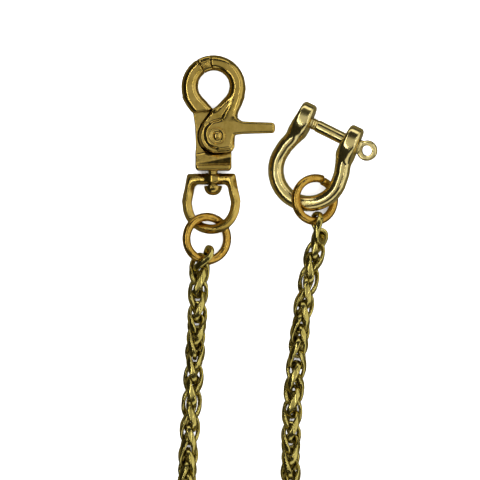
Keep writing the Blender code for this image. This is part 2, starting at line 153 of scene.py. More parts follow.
def noise(nodes, links, vector, scale, detail, roughness):
    texture = nodes.new("ShaderNodeTexNoise")
    texture.inputs["Scale"].default_value = scale
    texture.inputs["Detail"].default_value = detail
    texture.inputs["Roughness"].default_value = roughness
    links.new(vector, texture.inputs["Vector"])
    return texture.outputs["Fac"]


def ramp(nodes, links, value, low, high, low_out=0.0, high_out=1.0):
    """Maps low..high onto low_out..high_out, held at the ends."""
    node = nodes.new("ShaderNodeMapRange")
    node.inputs["From Min"].default_value = low
    node.inputs["From Max"].default_value = high
    node.inputs["To Min"].default_value = low_out
    node.inputs["To Max"].default_value = high_out
    links.new(value, node.inputs["Value"])
    return node.outputs["Result"]


def math_node(nodes, links, operation, a, b):
    """A clamped sum, product or maximum of two sockets or numbers."""
    node = nodes.new("ShaderNodeMath")
    node.operation = operation
    node.use_clamp = True
    for socket, value in zip(node.inputs, (a, b)):
        if isinstance(value, (int, float)):
            socket.default_value = value
        else:
            links.new(value, socket)
    return node.outputs[0]


def mix_colour(nodes, links, factor, a, b):
    """Colour a turning into colour b as the factor rises."""
    node = nodes.new("ShaderNodeMix")
    node.data_type = "RGBA"
    links.new(factor, node.inputs["Factor"])
    for socket, value in ((node.inputs["A"], a), (node.inputs["B"], b)):
        if isinstance(value, tuple):
            socket.default_value = (*value, 1.0)
        else:
            links.new(value, socket)
    return node.outputs["Result"]


def bump(nodes, links, height, distance, under=None):
    """A bump of a depth in millimetres, on top of another bump if one is given."""
    node = nodes.new("ShaderNodeBump")
    node.inputs["Strength"].default_value = 1.0
    node.inputs["Distance"].default_value = distance * MM
    links.new(height, node.inputs["Height"])
    if under is not None:
        links.new(under, node.inputs["Normal"])
    return node.outputs["Normal"]


def worn_metal_with_painted_shade(name, clean, tarnish, recess_shade_and_patina, rough, grain, brush, mottling=0.35):
    """Aged metal: clean where rubbed, tarnished in patches, finely scratched, and dark in its
    recesses and the gaps between parts, which is painted shade along with some patina.
    """
    material, nodes, links, shader = node_kit(name)
    place = nodes.new("ShaderNodeTexCoord").outputs["Object"]
    scaled = nodes.new("ShaderNodeMapping")
    scaled.inputs["Scale"].default_value = (1.0 / MM, 1.0 / MM, 1.0 / MM)
    links.new(place, scaled.inputs["Vector"])
    mm = scaled.outputs["Vector"]
    drawn = nodes.new("ShaderNodeMapping")
    drawn.inputs["Scale"].default_value = brush
    links.new(mm, drawn.inputs["Vector"])
    streaks = noise(nodes, links, drawn.outputs["Vector"], 1.0, 3.0, 0.55)
    patches = noise(nodes, links, mm, mottling, 5.0, 0.6)
    specks = noise(nodes, links, mm, 4.0, 3.0, 0.6)
    # Hollows found by pointiness and gaps found by ambient occlusion get painted shade, with some
    # patina, in the recess colour
    edges = nodes.new("ShaderNodeNewGeometry").outputs["Pointiness"]
    hollow = ramp(nodes, links, edges, 0.36, 0.465, 1.0, 0.0)
    rubbed = ramp(nodes, links, edges, 0.52, 0.58)
    shade = nodes.new("ShaderNodeAmbientOcclusion")
    shade.samples = 4
    shade.inputs["Distance"].default_value = 1.2 * MM
    buried = ramp(nodes, links, shade.outputs["AO"], 0.2, 0.8, 1.0, 0.0)
    dark = math_node(nodes, links, "MAXIMUM", hollow, buried)
    streaked = ramp(nodes, links, streaks, 0.3, 0.7, 0.6, 1.0)
    dulled = ramp(nodes, links, patches, 0.38, 0.72)
    dulled = math_node(nodes, links, "MULTIPLY", dulled, streaked)
    colour = mix_colour(nodes, links, dulled, clean, tarnish)
    shine = math_node(nodes, links, "MULTIPLY", rubbed, 0.6)
    colour = mix_colour(nodes, links, shine, colour, clean)
    # Painted shade with some patina: hollows and gaps turn toward the dark recess colour
    patina_and_painted_shade = math_node(nodes, links, "MULTIPLY", dark, 0.95)
    colour = mix_colour(nodes, links, patina_and_painted_shade, colour, recess_shade_and_patina)
    links.new(colour, shader.inputs["Base Color"])
    wear = math_node(nodes, links, "ADD", ramp(nodes, links, streaks, 0.3, 0.75, 0.0, 0.10),
                     ramp(nodes, links, specks, 0.35, 0.75, 0.0, 0.05))
    wear = math_node(nodes, links, "ADD", wear, math_node(nodes, links, "MULTIPLY", dulled, 0.08))
    wear = math_node(nodes, links, "ADD", wear, math_node(nodes, links, "MULTIPLY", dark, 0.16))
    links.new(math_node(nodes, links, "ADD", wear, rough), shader.inputs["Roughness"])
    scratches = bump(nodes, links, streaks, grain)
    pits = bump(nodes, links, specks, 0.3 * grain, scratches)
    waves = bump(nodes, links, patches, 2.5 * grain, pits)
    links.new(waves, shader.inputs["Normal"])
    return material


# Each finish's third colour is the painted shade, with some patina, of its hollows and the gaps
# between parts
MATERIALS = {
    "cast_brass": worn_metal_with_painted_shade("cast_brass_worn_painted_shade", (0.66, 0.465, 0.12), (0.46, 0.31, 0.05),
                             (0.05, 0.02, 0.001), 0.09, 0.0009, (1.6, 0.35, 1.6)),
    "shackle_brass": worn_metal_with_painted_shade("shackle_brass_worn_painted_shade", (0.93, 0.77, 0.34), (0.76, 0.60, 0.20),
                                (0.08, 0.04, 0.004), 0.09, 0.0012, (0.5, 0.5, 1.6)),
    "ring_brass": worn_metal_with_painted_shade("ring_brass_worn_painted_shade", (0.68, 0.42, 0.08), (0.48, 0.255, 0.03),
                             (0.08, 0.026, 0.001), 0.11, 0.0008, (0.8, 0.8, 2.4), 0.6),
    "chain_brass": worn_metal_with_painted_shade("chain_brass_worn_painted_shade", (0.70, 0.58, 0.17), (0.48, 0.385, 0.08),
                              (0.02, 0.008, 0.0), 0.10, 0.002, (5.0, 0.8, 5.0), 0.5),
    "spring_steel": worn_metal_with_painted_shade("spring_steel_drawn", (0.56, 0.56, 0.57), (0.40, 0.39, 0.38),
                               (0.08, 0.08, 0.08), 0.28, 0.006, (4.0, 4.0, 1.0)),
}


# ---------------------------------------------------------------- meshes

def add_piece(name, points, faces, slot, body, nodes, place=None, sharp_deg=40.0, finish=None):
    """Turns a mesh in millimetres into a piece that rides on a body and stands for CAD nodes."""
    mesh = bpy.data.meshes.new(name)
    mesh.from_pydata([tuple(point) for point in np.asarray(points) * MM], [], faces)
    if place is not None:
        mesh.transform(place)
    mesh.validate()
    mesh.shade_smooth()
    mesh.set_sharp_from_angle(angle=math.radians(sharp_deg))
    mesh.materials.append(MATERIALS[finish or slot])
    piece = bpy.data.objects.new(name, mesh)
    bpy.context.scene.collection.objects.link(piece)
    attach(piece, body)
    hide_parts(*nodes)


def loft(rings, closed):
    """Quads between rings of equal counts, with flat ends unless the loft closes on itself."""
    rings = np.asarray(rings)
    stations, sides = rings.shape[:2]
    faces = []
    for station in range(stations if closed else stations - 1):
        near = station * sides
        far = (station + 1) % stations * sides
        for side in range(sides):
            after = (side + 1) % sides
            faces.append((near + side, near + after, far + after, far + side))
    if not closed:
        faces.append(tuple(reversed(range(sides))))
        faces.append(tuple((stations - 1) * sides + side for side in range(sides)))
    return rings.reshape(-1, 3), faces


def turned(profile, steps=40):
    """A closed solid of revolution about Z from (radius, height) pairs, bottom to top."""
    rings = []
    for radius, height in profile:
        angles = np.linspace(0.0, 2 * math.pi, steps, endpoint=False)
        rings.append([(radius * math.cos(a), radius * math.sin(a), height) for a in angles])
    return loft(rings, False)


class Field:
    """Signed distances in millimetres, sampled on a grid, from which a closed surface is drawn."""

    def __init__(self, low, high, step):
        self.low = np.array(low, dtype=float)
        self.step = step
        axes = [np.arange(a, b + step, step) for a, b in zip(low, high)]
        self.x, self.y, self.z = np.meshgrid(*axes, indexing="ij", sparse=True)
        self.shape = tuple(len(axis) for axis in axes)

    def surface(self, distance):
        """Points and quads of the zero surface: one point in each cell that it crosses.

        The grid's outer layer counts as outside, so the surface is always closed.
        """
        distance = np.array(np.broadcast_to(distance, self.shape))
        for axis in range(3):
            edge = np.moveaxis(distance, axis, 0)
            edge[0] = np.maximum(edge[0], self.step)
            edge[-1] = np.maximum(edge[-1], self.step)
        inside = distance < 0
        corners = list(itertools.product((0, 1), repeat=3))
        size = [count - 1 for count in self.shape]
        window = [tuple(slice(d, d + n) for d, n in zip(corner, size)) for corner in corners]
        count = sum(inside[w].astype(np.int8) for w in window)
        cells = np.argwhere((count > 0) & (count < 8))
        index = np.full(size, -1)
        index[tuple(cells.T)] = np.arange(len(cells))
        total = np.zeros((len(cells), 3))
        hits = np.zeros(len(cells))
        for a, b in itertools.combinations(corners, 2):
            if sum(abs(p - q) for p, q in zip(a, b)) != 1:
                continue
            start = distance[tuple((cells + a).T)]
            end = distance[tuple((cells + b).T)]
            crossed = (start < 0) != (end < 0)
            share = np.where(crossed, start / np.where(crossed, start - end, 1.0), 0.0)
            where = cells + a + share[:, None] * (np.array(b) - np.array(a))
            total[crossed] += where[crossed]
            hits += crossed
        within = self.settle(distance, cells, total / hits[:, None] - cells)
        points = self.low + self.step * (cells + within)
        faces = []
        for axis in range(3):
            other = [k for k in range(3) if k != axis]
            first = np.moveaxis(inside, axis, 0)[:-1]
            second = np.moveaxis(inside, axis, 0)[1:]
            crossing = np.argwhere(first != second)
            leaving = first[tuple(crossing.T)]
            at = np.empty_like(crossing)
            at[:, axis] = crossing[:, 0]
            at[:, other[0]] = crossing[:, 1]
            at[:, other[1]] = crossing[:, 2]
            quad = []
            for du, dv in ((-1, -1), (0, -1), (0, 0), (-1, 0)):
                cell = at.copy()
                cell[:, other[0]] += du
                cell[:, other[1]] += dv
                quad.append(index[tuple(cell.T)])
            quad = np.array(quad).T
            flip = leaving if axis != 1 else ~leaving
            quad[~flip] = quad[~flip][:, ::-1]
            faces += [tuple(int(v) for v in q) for q in quad]
        return points, faces

    @staticmethod
    def settle(distance, cells, at):
        """Moves each point inside its cell onto the zero surface of the interpolated distances."""
        for _ in range(2):
            value = np.zeros(len(cells))
            slope = np.zeros((len(cells), 3))
            for corner in itertools.product((0, 1), repeat=3):
                near = distance[tuple((cells + corner).T)]
                shares = np.where(np.array(corner) == 1, at, 1.0 - at)
                value += near * shares.prod(axis=1)
                for axis in range(3):
                    others = shares.copy()
                    others[:, axis] = 1.0 if corner[axis] else -1.0
                    slope[:, axis] += near * others.prod(axis=1)
            steep = np.maximum(np.sum(slope * slope, axis=1), 1e-9)
            at = np.clip(at - slope * (value / steep)[:, None], 0.02, 0.98)
        return at


def smooth_min(a, b, radius):
    """Two shapes joined, with a fillet where they are closer than the radius."""
    blend = np.maximum(radius - np.abs(a - b), 0.0) / radius
    return np.minimum(a, b) - blend * blend * radius / 4


def smooth_max(a, b, radius):
    """What two shapes share, its edge rounded over."""
    return -smooth_min(-a, -b, radius)


def disc(field, centre, radius):
    """Distance to a round column along Z."""
    return np.hypot(field.x - centre[0], field.y - centre[1]) - radius


def polygon(field, points):
    """Signed distance in the XY plane to a closed outline."""
    x, y = field.x, field.y
    best = np.full(np.broadcast_shapes(x.shape, y.shape), np.inf)
    sign = np.ones_like(best)
    for (ax, ay), (bx, by) in zip(points, points[1:] + points[:1]):
        ex, ey = bx - ax, by - ay
        wx, wy = x - ax, y - ay
        share = np.clip((wx * ex + wy * ey) / (ex * ex + ey * ey), 0.0, 1.0)
        best = np.minimum(best, (wx - ex * share) ** 2 + (wy - ey * share) ** 2)
        side = ex * wy - ey * wx
        flips = ((y >= ay) & (y < by) & (side > 0)) | ((y < ay) & (y >= by) & (side < 0))
        sign = np.where(flips, -sign, sign)
    return sign * np.sqrt(best)


def plate(outline, field, low, high, radius):
    """An outline given a thickness, its edges rounded to a radius."""
    across = outline + radius
    through = np.abs(field.z - (low + high) / 2) - (high - low) / 2 + radius
    outside = np.hypot(np.maximum(across, 0.0), np.maximum(through, 0.0))
    return np.minimum(np.maximum(across, through), 0.0) + outside - radius


def tube(field, points, radii):
    """Distance to a round bar through the points, its radius changing along it."""
    best = None
    for a, b, ra, rb in zip(points, points[1:], radii, radii[1:]):
        a, b = np.array(a, dtype=float), np.array(b, dtype=float)
        e = b - a
        wx, wy, wz = field.x - a[0], field.y - a[1], field.z - a[2]
        share = np.clip((wx * e[0] + wy * e[1] + wz * e[2]) / e.dot(e), 0.0, 1.0)
        d = np.sqrt((wx - e[0] * share) ** 2 + (wy - e[1] * share) ** 2 + (wz - e[2] * share) ** 2)
        d = d - (ra + (rb - ra) * share)
        best = d if best is None else np.minimum(best, d)
    return best


def arc(centre, radius, start_deg, end_deg, count):
    """Points evenly spaced along an arc in plan."""
    angles = np.radians(np.linspace(start_deg, end_deg, count))
    return [(centre[0] + radius * math.cos(a), centre[1] + radius * math.sin(a)) for a in angles]


# ---------------------------------------------------------------- snap

SNAP_STEP = 0.15


def hook_outline(field):
    """The whole hook in plan: a round loop, a tapering neck and a teardrop opening."""
    neck = polygon(field, [(-7.75, 17.3), (-6.63, 15.5), (-5.15, 13.2), (-4.9, 12.4), (6.1, 12.4),
                           (6.35, 13.3), (7.3, 15.6), (7.95, 17.3), (4.0, 21.0), (-4.0, 21.0)])
    outer = smooth_min(disc(field, LOOP, LOOP_OUT_R), neck, 0.8)
    lean = math.acos(OPENING_R / (OPENING[1] - APEX[1]))
    dx, dy = OPENING_R * math.sin(lean), OPENING_R * math.cos(lean)
    foot_y = OPENING[1] - dy
    wedge = polygon(field, [(OPENING[0] - dx, foot_y), APEX, (OPENING[0] + dx, foot_y)])
    opening = smooth_min(disc(field, OPENING, OPENING_R), wedge, 0.15)
    return np.maximum(outer, -opening)


def split_side(field):
    """Positive on the moving jaw's side of the cut between the two jaw tips."""
    a = math.radians(JAW_SPLIT_DEG)
    return (field.x - LOOP[0]) * math.sin(a) - (field.y - LOOP[1]) * math.cos(a)


def field_line(field, a, b):
    """Distance from a line through two points in plan, positive on the right going from a to b."""
    ex, ey = b[0] - a[0], b[1] - a[1]
    return ((field.x - a[0]) * ey - (field.y - a[1]) * ex) / math.hypot(ex, ey)


def hook_bar(f):
    """The hook as a bar of rounded section, before it is cut into its two jaws."""
    return plate(hook_outline(f), f, SNAP_MID_Z - BAR_HALF, SNAP_MID_Z + BAR_HALF, BAR_ROUNDING)


def hub_room(f, gap):
    """The space above the plate that the hub turns in."""
    return np.maximum(disc(f, RIVET, HUB_R + gap), PLATE_TOP + 0.05 - f.z)


def block_shape(f):
    """The block: a rounded lip along its foot, and above it two facets that meet on a slant."""
    outline = polygon(f, [(-3.6, -0.6), (3.8, -0.6), (3.8, 3.3), (1.2, 3.3), (-3.6, 3.3)]) - 0.98
    block = plate(outline, f, 0.1, SNAP_TOP, 0.75)
    slant = field_line(f, (-2.0, 0.6), (4.6, 2.0))
    roof = 6.1 - 0.42 * np.maximum(slant, 0.0) - 0.75 * np.maximum(-slant, 0.0)
    above_roof = np.maximum(roof - f.z, -f.y)
    groove = tube(f, [(-5.5, 0.05, 6.3), (5.5, 0.05, 6.3)], [0.32, 0.32])
    block = smooth_max(block, -above_roof, 0.2)
    block = smooth_max(block, -groove, 0.15)
    return smooth_max(block, -hub_room(f, 0.28), 0.3)


def build_snap_body():
    """Fixed jaw, the recessed plate beside the hub, and the square block for the swivel."""
    f = Field((-9.2, -2.6, -0.6), (6.4, 29.4, 7.2), SNAP_STEP)
    below_seam = field_line(f, (-4.84, 13.25), (0.05, 14.1))
    across = np.where(f.y > LOOP[1], split_side(f), f.x - APEX[0]) + JAW_SPLIT_GAP / 2
    jaw = smooth_max(smooth_max(hook_bar(f), across, 0.15), below_seam, 0.7)
    outline = polygon(f, [(-5.1, 13.3), (-4.66, 10.0), (-4.45, 6.0), (-4.45, 1.0), (3.9, 1.0),
                          (3.9, 11.6), (0.0, 13.9)])
    base = plate(outline, f, 0.12, PLATE_TOP, 0.45)
    from_rivet = disc(f, RIVET, 0.0)
    beside_web = np.where(f.y > 10.0, field_line(f, (-2.9, 10.2), (0.0, 14.3)) + 0.2, -1.0)
    rim = np.maximum(np.maximum(outline, HUB_R + 0.65 - from_rivet), beside_web)
    rim = np.maximum(plate(rim, f, 0.4, 4.25, 0.3), f.x)
    body = smooth_min(smooth_min(jaw, base, 0.5), rim, 0.25)
    body = smooth_min(body, block_shape(f), 0.25)
    body = np.maximum(body, RIVET_BORE_R - from_rivet)
    body = smooth_max(body, -hub_room(f, 0.2), 0.12)
    stud_bore = np.maximum(np.hypot(f.x, f.z - SNAP_MID_Z) - STUD_R - STUD_GAP, f.y - 1.0)
    points, faces = f.surface(np.maximum(body, -stud_bore))
    add_piece("snap_casting", points, faces, "cast_brass", "snap_body", ["snap_body"], sharp_deg=60)


def tip_step(f):
    """What is cut from the moving jaw's upper face to leave a step near its tip."""
    corners = arc(LOOP, 3.2, 97.0, 124.0, 2) + arc(LOOP, 9.4, 124.0, 97.0, 2)
    return np.maximum(polygon(f, corners), SNAP_MID_Z + 1.5 - f.z)


def build_trigger_jaw():
    """The moving jaw: round over the loop, flattening into a web, a hub and the thumb lever."""
    f = Field((-6.4, 1.9, 0.7), (17.0, 29.4, 7.4), SNAP_STEP)
    across = np.where(f.y > LOOP[1], -split_side(f), APEX[0] - f.x) + JAW_SPLIT_GAP / 2
    arm = smooth_max(hook_bar(f), across, 0.15)
    over_plate = np.maximum(np.maximum(f.z - HUB_LOW, f.y - 14.1), f.x - 5.2)
    arm = np.maximum(arm, -over_plate)
    web = polygon(f, [(-2.75, 10.3), (0.2, 14.35), (2.1, 14.9), (5.0, 17.6), (6.4, 17.6),
                      (6.7, 15.4), (6.05, 13.6), (6.15, 12.6), (6.5, 11.8), (7.2, 11.1),
                      (8.2, 10.4), (8.2, 8.5), (5.6, 7.9), (5.6, 4.4), (5.0, 3.4), (3.4, 2.95),
                      (1.1, 2.95)])
    from_rivet = disc(f, RIVET, 0.0)
    hub = plate(np.minimum(web, from_rivet - HUB_R), f, HUB_LOW, HUB_TOP, 0.6)
    hub = smooth_max(hub, f.z - HUB_TOP + HUB_SLOPE * np.maximum(f.y - 10.5, 0.0), 0.3)
    jaw = smooth_min(arm, hub, 0.9)
    ridge = tube(f, [(2.4, 9.6, 4.5), (4.5, 13.6, 4.25), (5.9, 16.6, 3.8), (6.4, 19.5, 3.4)],
                 [1.3, 1.55, 1.7, 1.8])
    jaw = smooth_min(jaw, np.maximum(ridge, HUB_LOW - f.z), 0.6)
    face = polygon(f, [(1.4, 10.9), (2.6, 12.4), (4.4, 15.2), (6.2, 15.2), (5.6, 12.8),
                       (6.4, 11.4), (7.4, 10.2), (7.4, 8.6), (5.3, 7.9), (5.1, 5.0), (4.3, 4.0),
                       (1.4, 3.9)])
    face = smooth_min(disc(f, (RIVET[0] + 0.3, RIVET[1] + 0.35), 3.6), face, 0.8)
    end = LEVER_TIP_X - LEVER_CORNER
    lever = polygon(f, [(5.0, LEVER_Y - 0.66), (end, LEVER_Y - 0.42), (end, LEVER_Y + 0.42),
                        (5.0, LEVER_Y + 0.78)]) - LEVER_CORNER
    face = plate(smooth_min(face, lever, 1.2), f, FACE_LOW, SNAP_TOP, 0.85)
    face = smooth_max(face, f.z - SNAP_TOP + FACE_SLOPE * np.maximum(f.y - 10.9, 0.0), 0.5)
    jaw = smooth_min(jaw, face, 0.5)
    jaw = smooth_max(jaw, -tip_step(f), 0.8)
    nib = [(*point, SNAP_MID_Z + 1.45)
           for point in arc(LOOP, LOOP_OUT_R - BAR_HALF, 117.0, 110.0, 2)]
    jaw = smooth_min(jaw, tube(f, nib, [0.6, 0.5]), 0.4)
    points, faces = f.surface(np.maximum(jaw, RIVET_BORE_R - from_rivet))
    add_piece("jaw_and_lever", points, faces, "cast_brass", "trigger_jaw", ["trigger_jaw"],
              sharp_deg=60)


def build_rivet():
    """The rivet: a peened tail below, and above a ring with a raised dot inside it."""
    tail = [(1.4, 0.15), (1.58, 0.3), (1.58, 0.82), (1.1, 0.86)]
    head = [(1.1, 0.02), (2.0, 0.05), (2.14, 0.18), (2.02, 0.36), (1.78, 0.42), (1.5, 0.3),
            (1.32, 0.12), (1.14, 0.10), (0.98, 0.28), (0.72, 0.46), (0.4, 0.55), (0.04, 0.57)]
    points, faces = turned(tail + [(radius, SNAP_TOP + rise) for radius, rise in head])
    place = Matrix.Translation(Vector((*RIVET, 0.0)) * MM)
    add_piece("rivet_with_dot", points, faces, "cast_brass", "snap_body", ["jaw_rivet"], place)


def build_stud():
    """The swivel stud: its shank in the block and its domed head inside the eye."""
    profile = [(0.05, -7.98), (0.7, -7.9), (1.3, -7.65), (1.8, -7.2), (2.15, -6.6), (2.32, -6.0),
               (2.35, -5.75), (2.2, -5.48), (STUD_R, -5.42), (STUD_R, 0.78)]
    points, faces = turned(profile)
    place = (Matrix.Translation((0.0, 0.0, SNAP_MID_Z * MM))
             @ Matrix.Rotation(math.radians(-90), 4, "X"))
    add_piece("domed_stud", points, faces, "cast_brass", "snap_body", ["swivel_stud"], place)


def rounded_diamond(n, w, half, thick, edge):
    """A bar's cross-section: four facets meeting in softened ridges."""
    n = np.sqrt(n * n + edge * edge)
    w = np.sqrt(w * w + edge * edge)
    return (n / half + w / thick - 1.0 - edge / thick) * half * thick / np.hypot(half, thick)


def build_swivel_eye():
    """The D-shaped eye: a faceted bar round a D opening, with a boss for the stud."""
    f = Field((-9.0, -18.8, -2.6), (8.0, -1.6, 2.6), SNAP_STEP)
    cx = EYE_SHIFT_X
    shoulders = polygon(f, [(cx - 5.9, -3.0), (cx + 5.9, -3.0),
                            (cx + 7.1, -9.4), (cx - 7.1, -9.4)]) - 0.7
    outer = smooth_min(disc(f, (cx, -10.2), 7.8), shoulders, 0.6)
    corners = polygon(f, [(cx - 3.3, -6.4), (cx + 3.3, -6.4),
                          (cx + 3.85, -9.8), (cx - 3.85, -9.8)]) - 1.2
    inner = smooth_min(disc(f, (cx, -10.4), 5.05), corners, 0.6)
    half = np.maximum((inner - outer) / 2, 0.9)
    thick = 1.16 + 1.2 * np.clip((f.y + 9.5) / 5.0, 0.0, 1.0)
    bar = rounded_diamond((outer + inner) / 2, f.z, half, thick, 0.22)
    bar = smooth_max(bar, np.abs(f.z) - EYE_HALF_DEPTH, 0.25)
    from_stud = np.hypot(f.x, f.z)
    boss = smooth_max(from_stud - 1.85, np.abs(f.y + 3.75) - 1.2, 0.5)
    stud_bore = np.maximum(from_stud - STUD_R - STUD_GAP, -6.0 - f.y)
    points, faces = f.surface(np.maximum(smooth_min(bar, boss, 0.7), -stud_bore))
    place = (Matrix.Translation((0.0, 0.0, SNAP_MID_Z * MM))
             @ Matrix.Rotation(math.radians(EYE_TILT_DEG), 4, "Y"))
    add_piece("faceted_eye", points, faces, "cast_brass", "swivel_eye", ["swivel_eye"], place, 50)


# ---------------------------------------------------------------- jump rings

def build_ring(name, ring):
    """Round wire bent to a circle, its two cut ends a little out of line."""
    centre, radius, wire, tilt_deg, cut_deg = ring
    half_gap = math.degrees(RING_HALF_GAP / radius)
    angles = np.linspace(cut_deg + half_gap, cut_deg + 360.0 - half_gap, 100)
    rings = []
    for index, angle in enumerate(angles):
        a = math.radians(angle)
        start = max(0.0, 1.0 - (angle - angles[0]) / RING_END_SPAN_DEG) ** 2
        end = max(0.0, 1.0 - (angles[-1] - angle) / RING_END_SPAN_DEG) ** 2
        bar = wire * (0.9 if index in (0, len(angles) - 1) else 1.0)
        out = radius + 0.14 * start - 0.22 * end
        lift = 0.18 * start - 0.20 * end
        section = []
        for t in np.linspace(0.0, 2 * math.pi, 20, endpoint=False):
            reach = out + bar * math.cos(t)
            section.append((reach * math.cos(a), reach * math.sin(a), lift + bar * math.sin(t)))
        rings.append(section)
    points, faces = loft(rings, False)
    faces = [tuple(reversed(face)) for face in faces]
    place = (Matrix.Translation(Vector(centre) * MM)
             @ Matrix.Rotation(math.radians(tilt_deg), 4, "Y"))
    add_piece(name + "_wire", points, faces, "ring_brass", name, [name], place)


# ---------------------------------------------------------------- bow shackle

def shackle_place():
    """Takes the shackle's own U, V and N to the row's axes and its pin's middle to its place."""
    axes = (Matrix.Rotation(math.radians(LEAN_X_DEG), 3, "X")
            @ Matrix.Rotation(math.radians(LEAN_Y_DEG), 3, "Y")
            @ Matrix.Rotation(math.radians(PIN_TURN_DEG), 3, "Z"))
    u, v, n = axes @ Vector((1, 0, 0)), axes @ Vector((0, -1, 0)), axes @ Vector((0, 0, -1))
    turn = Matrix((u, v, n)).transposed().to_4x4()
    return Matrix.Translation(Vector(PIN_CENTRE) * MM) @ turn


def build_bow():
    """The bow: a round bar in a horseshoe, forged into a round lug at each end."""
    f = Field((-11.2, -5.0, -5.0), (11.2, 22.6, 5.0), 0.17)
    side = [(EAR_U, 1.0), (EAR_U + 0.1, 2.6), (EAR_U + 0.45, 5.4), (BOW_HALF - 0.35, 8.4)]
    round_end = arc((0.0, BOW_ROUND_V), BOW_HALF, 0.0, 180.0, 25)
    route = side + round_end + [(-u, v) for u, v in reversed(side)]
    radii = [ROD_R + 0.12 * max(0.0, 1.0 - v / 7.0) for _, v in route]
    bar = tube(f, [(u, v, -BOW_RISE if v > 8.0 else 0.0) for u, v in route], radii)
    from_axis = np.hypot(f.y, f.z)
    across = np.hypot(f.y, f.z * EAR_R / EAR_HALF_DEPTH) - EAR_R + EAR_ROUNDING
    through = np.abs(np.abs(f.x) - EAR_U) - EAR_HALF + EAR_ROUNDING
    lug = np.minimum(np.maximum(across, through), 0.0)
    lug = lug + np.hypot(np.maximum(across, 0.0), np.maximum(through, 0.0)) - EAR_ROUNDING
    bow = smooth_min(bar, lug, 2.2)
    bow = smooth_max(bow, PIN_R + 0.07 - from_axis, 0.2)
    points, faces = f.surface(bow)
    add_piece("horseshoe_bow", points, faces, "cast_brass", "shackle_bow", ["shackle_bow"],
              shackle_place(), 60, "shackle_brass")


def build_pin():
    """The screw pin: a thread in the far ear, a plain shaft, and a drilled flat eye."""
    f = Field((-9.0, -3.0, -3.0), (14.6, 3.0, 3.0), 0.12)
    from_axis = np.hypot(f.y, f.z)
    turn = np.arctan2(f.z, f.y) / (2 * math.pi)
    wave = np.abs((f.x / THREAD_PITCH - turn) % 1.0 - 0.5) * 2
    shaft = from_axis - PIN_R
    thread = shaft + THREAD_DEPTH * wave
    undercut = shaft + 0.22
    bar = np.where(f.x < THREAD_END_U, thread, np.where(f.x < UNDERCUT_END_U, undercut, shaft))
    bar = smooth_max(bar, np.maximum(-8.5 - f.x, f.x - PIN_EYE_U + 1.9), 0.3)
    collar = smooth_max(from_axis - PIN_COLLAR_R, np.abs(f.x - 9.1) - 0.28, 0.2)
    from_hole = disc(f, (PIN_EYE_U, 0.0), 0.0)
    eye = plate(from_hole - PIN_EYE_R, f, -1.15, 1.15, 0.5)
    pin = smooth_min(np.minimum(bar, collar), eye, 0.5)
    pin = smooth_max(pin, PIN_EYE_HOLE_R - from_hole, 0.3)
    points, faces = f.surface(pin)
    add_piece("screw_pin", points, faces, "cast_brass", "shackle_pin", ["shackle_pin"],
              shackle_place(), 60, "shackle_brass")


# ---------------------------------------------------------------- wheat chain

def catmull_rom(points, steps=8):
    """A smooth curve through every point."""
    knots = [2 * Vector(points[0]) - Vector(points[1])]
    knots += [Vector(point) for point in points]
    knots += [2 * Vector(points[-1]) - Vector(points[-2])]
    curve = []
    for a, b, c, d in zip(knots, knots[1:], knots[2:], knots[3:]):
        for step in range(steps):
            t = step / steps
            curve.append(0.5 * (2 * b + (c - a) * t + (2 * a - 5 * b + 4 * c - d) * t * t
                                + (3 * b - a - 3 * c + d) * t ** 3))
    curve.append(Vector(points[-1]))
    return curve


def chain_route():
    """The chain's centre line, from the snap's end round the U to the shackle's end."""
    left = catmull_rom([(x, y, CHAIN_Z) for x, y in LEFT_ROUTE])
    right = catmull_rom([(x, y, CHAIN_Z) for x, y in RIGHT_ROUTE])
    bend_r = (right[-1].x - left[-1].x) / 2
    length = (LINK_COUNT - 1) * LINK_PITCH
    drawn = sum((b - a).length for side in (left, right) for a, b in zip(side, side[1:]))
    straight = (length - drawn - math.pi * bend_r) / 2
    centre = (left[-1].x + bend_r, left[-1].y - straight)
    bend = [Vector((*point, CHAIN_Z)) for point in arc(centre, bend_r, 180.0, 360.0, 61)]
    return left + bend + right[::-1]


class Route:
    """A polyline measured along its length."""

    def __init__(self, points):
        self.points = np.array([tuple(point) for point in points])
        steps = np.linalg.norm(np.diff(self.points, axis=0), axis=1)
        self.along = np.concatenate([[0.0], np.cumsum(steps)])
        self.length = self.along[-1]

    def point(self, distance):
        return Vector([np.interp(distance, self.along, self.points[:, axis]) for axis in range(3)])

    def tangent(self, distance):
        return (self.point(distance + 0.5) - self.point(distance - 0.5)).normalized()


def link_place(route, distance, away, roll_deg):
    """A link's place: its long axis along the chain, turned about it by the roll."""
    along = route.tangent(distance) * away
    up = Vector((0, 0, 1))
    side = along.cross(up).normalized()
    roll = math.radians(roll_deg)
    width = side * math.cos(roll) + up * math.sin(roll)
    axes = Matrix((width, along.cross(width), along)).transposed().to_4x4()
    return Matrix.Translation(route.point(distance)) @ axes


def lie_askew(place, lie):
    """Shift a link and turn it about its own centre."""
    shift, turn = lie
    turn = Vector(turn)
    centre = place.to_translation()
    return (Matrix.Translation(centre + Vector(shift)) @ Matrix.Rotation(turn.length, 4, turn)
            @ Matrix.Translation(-centre) @ place)


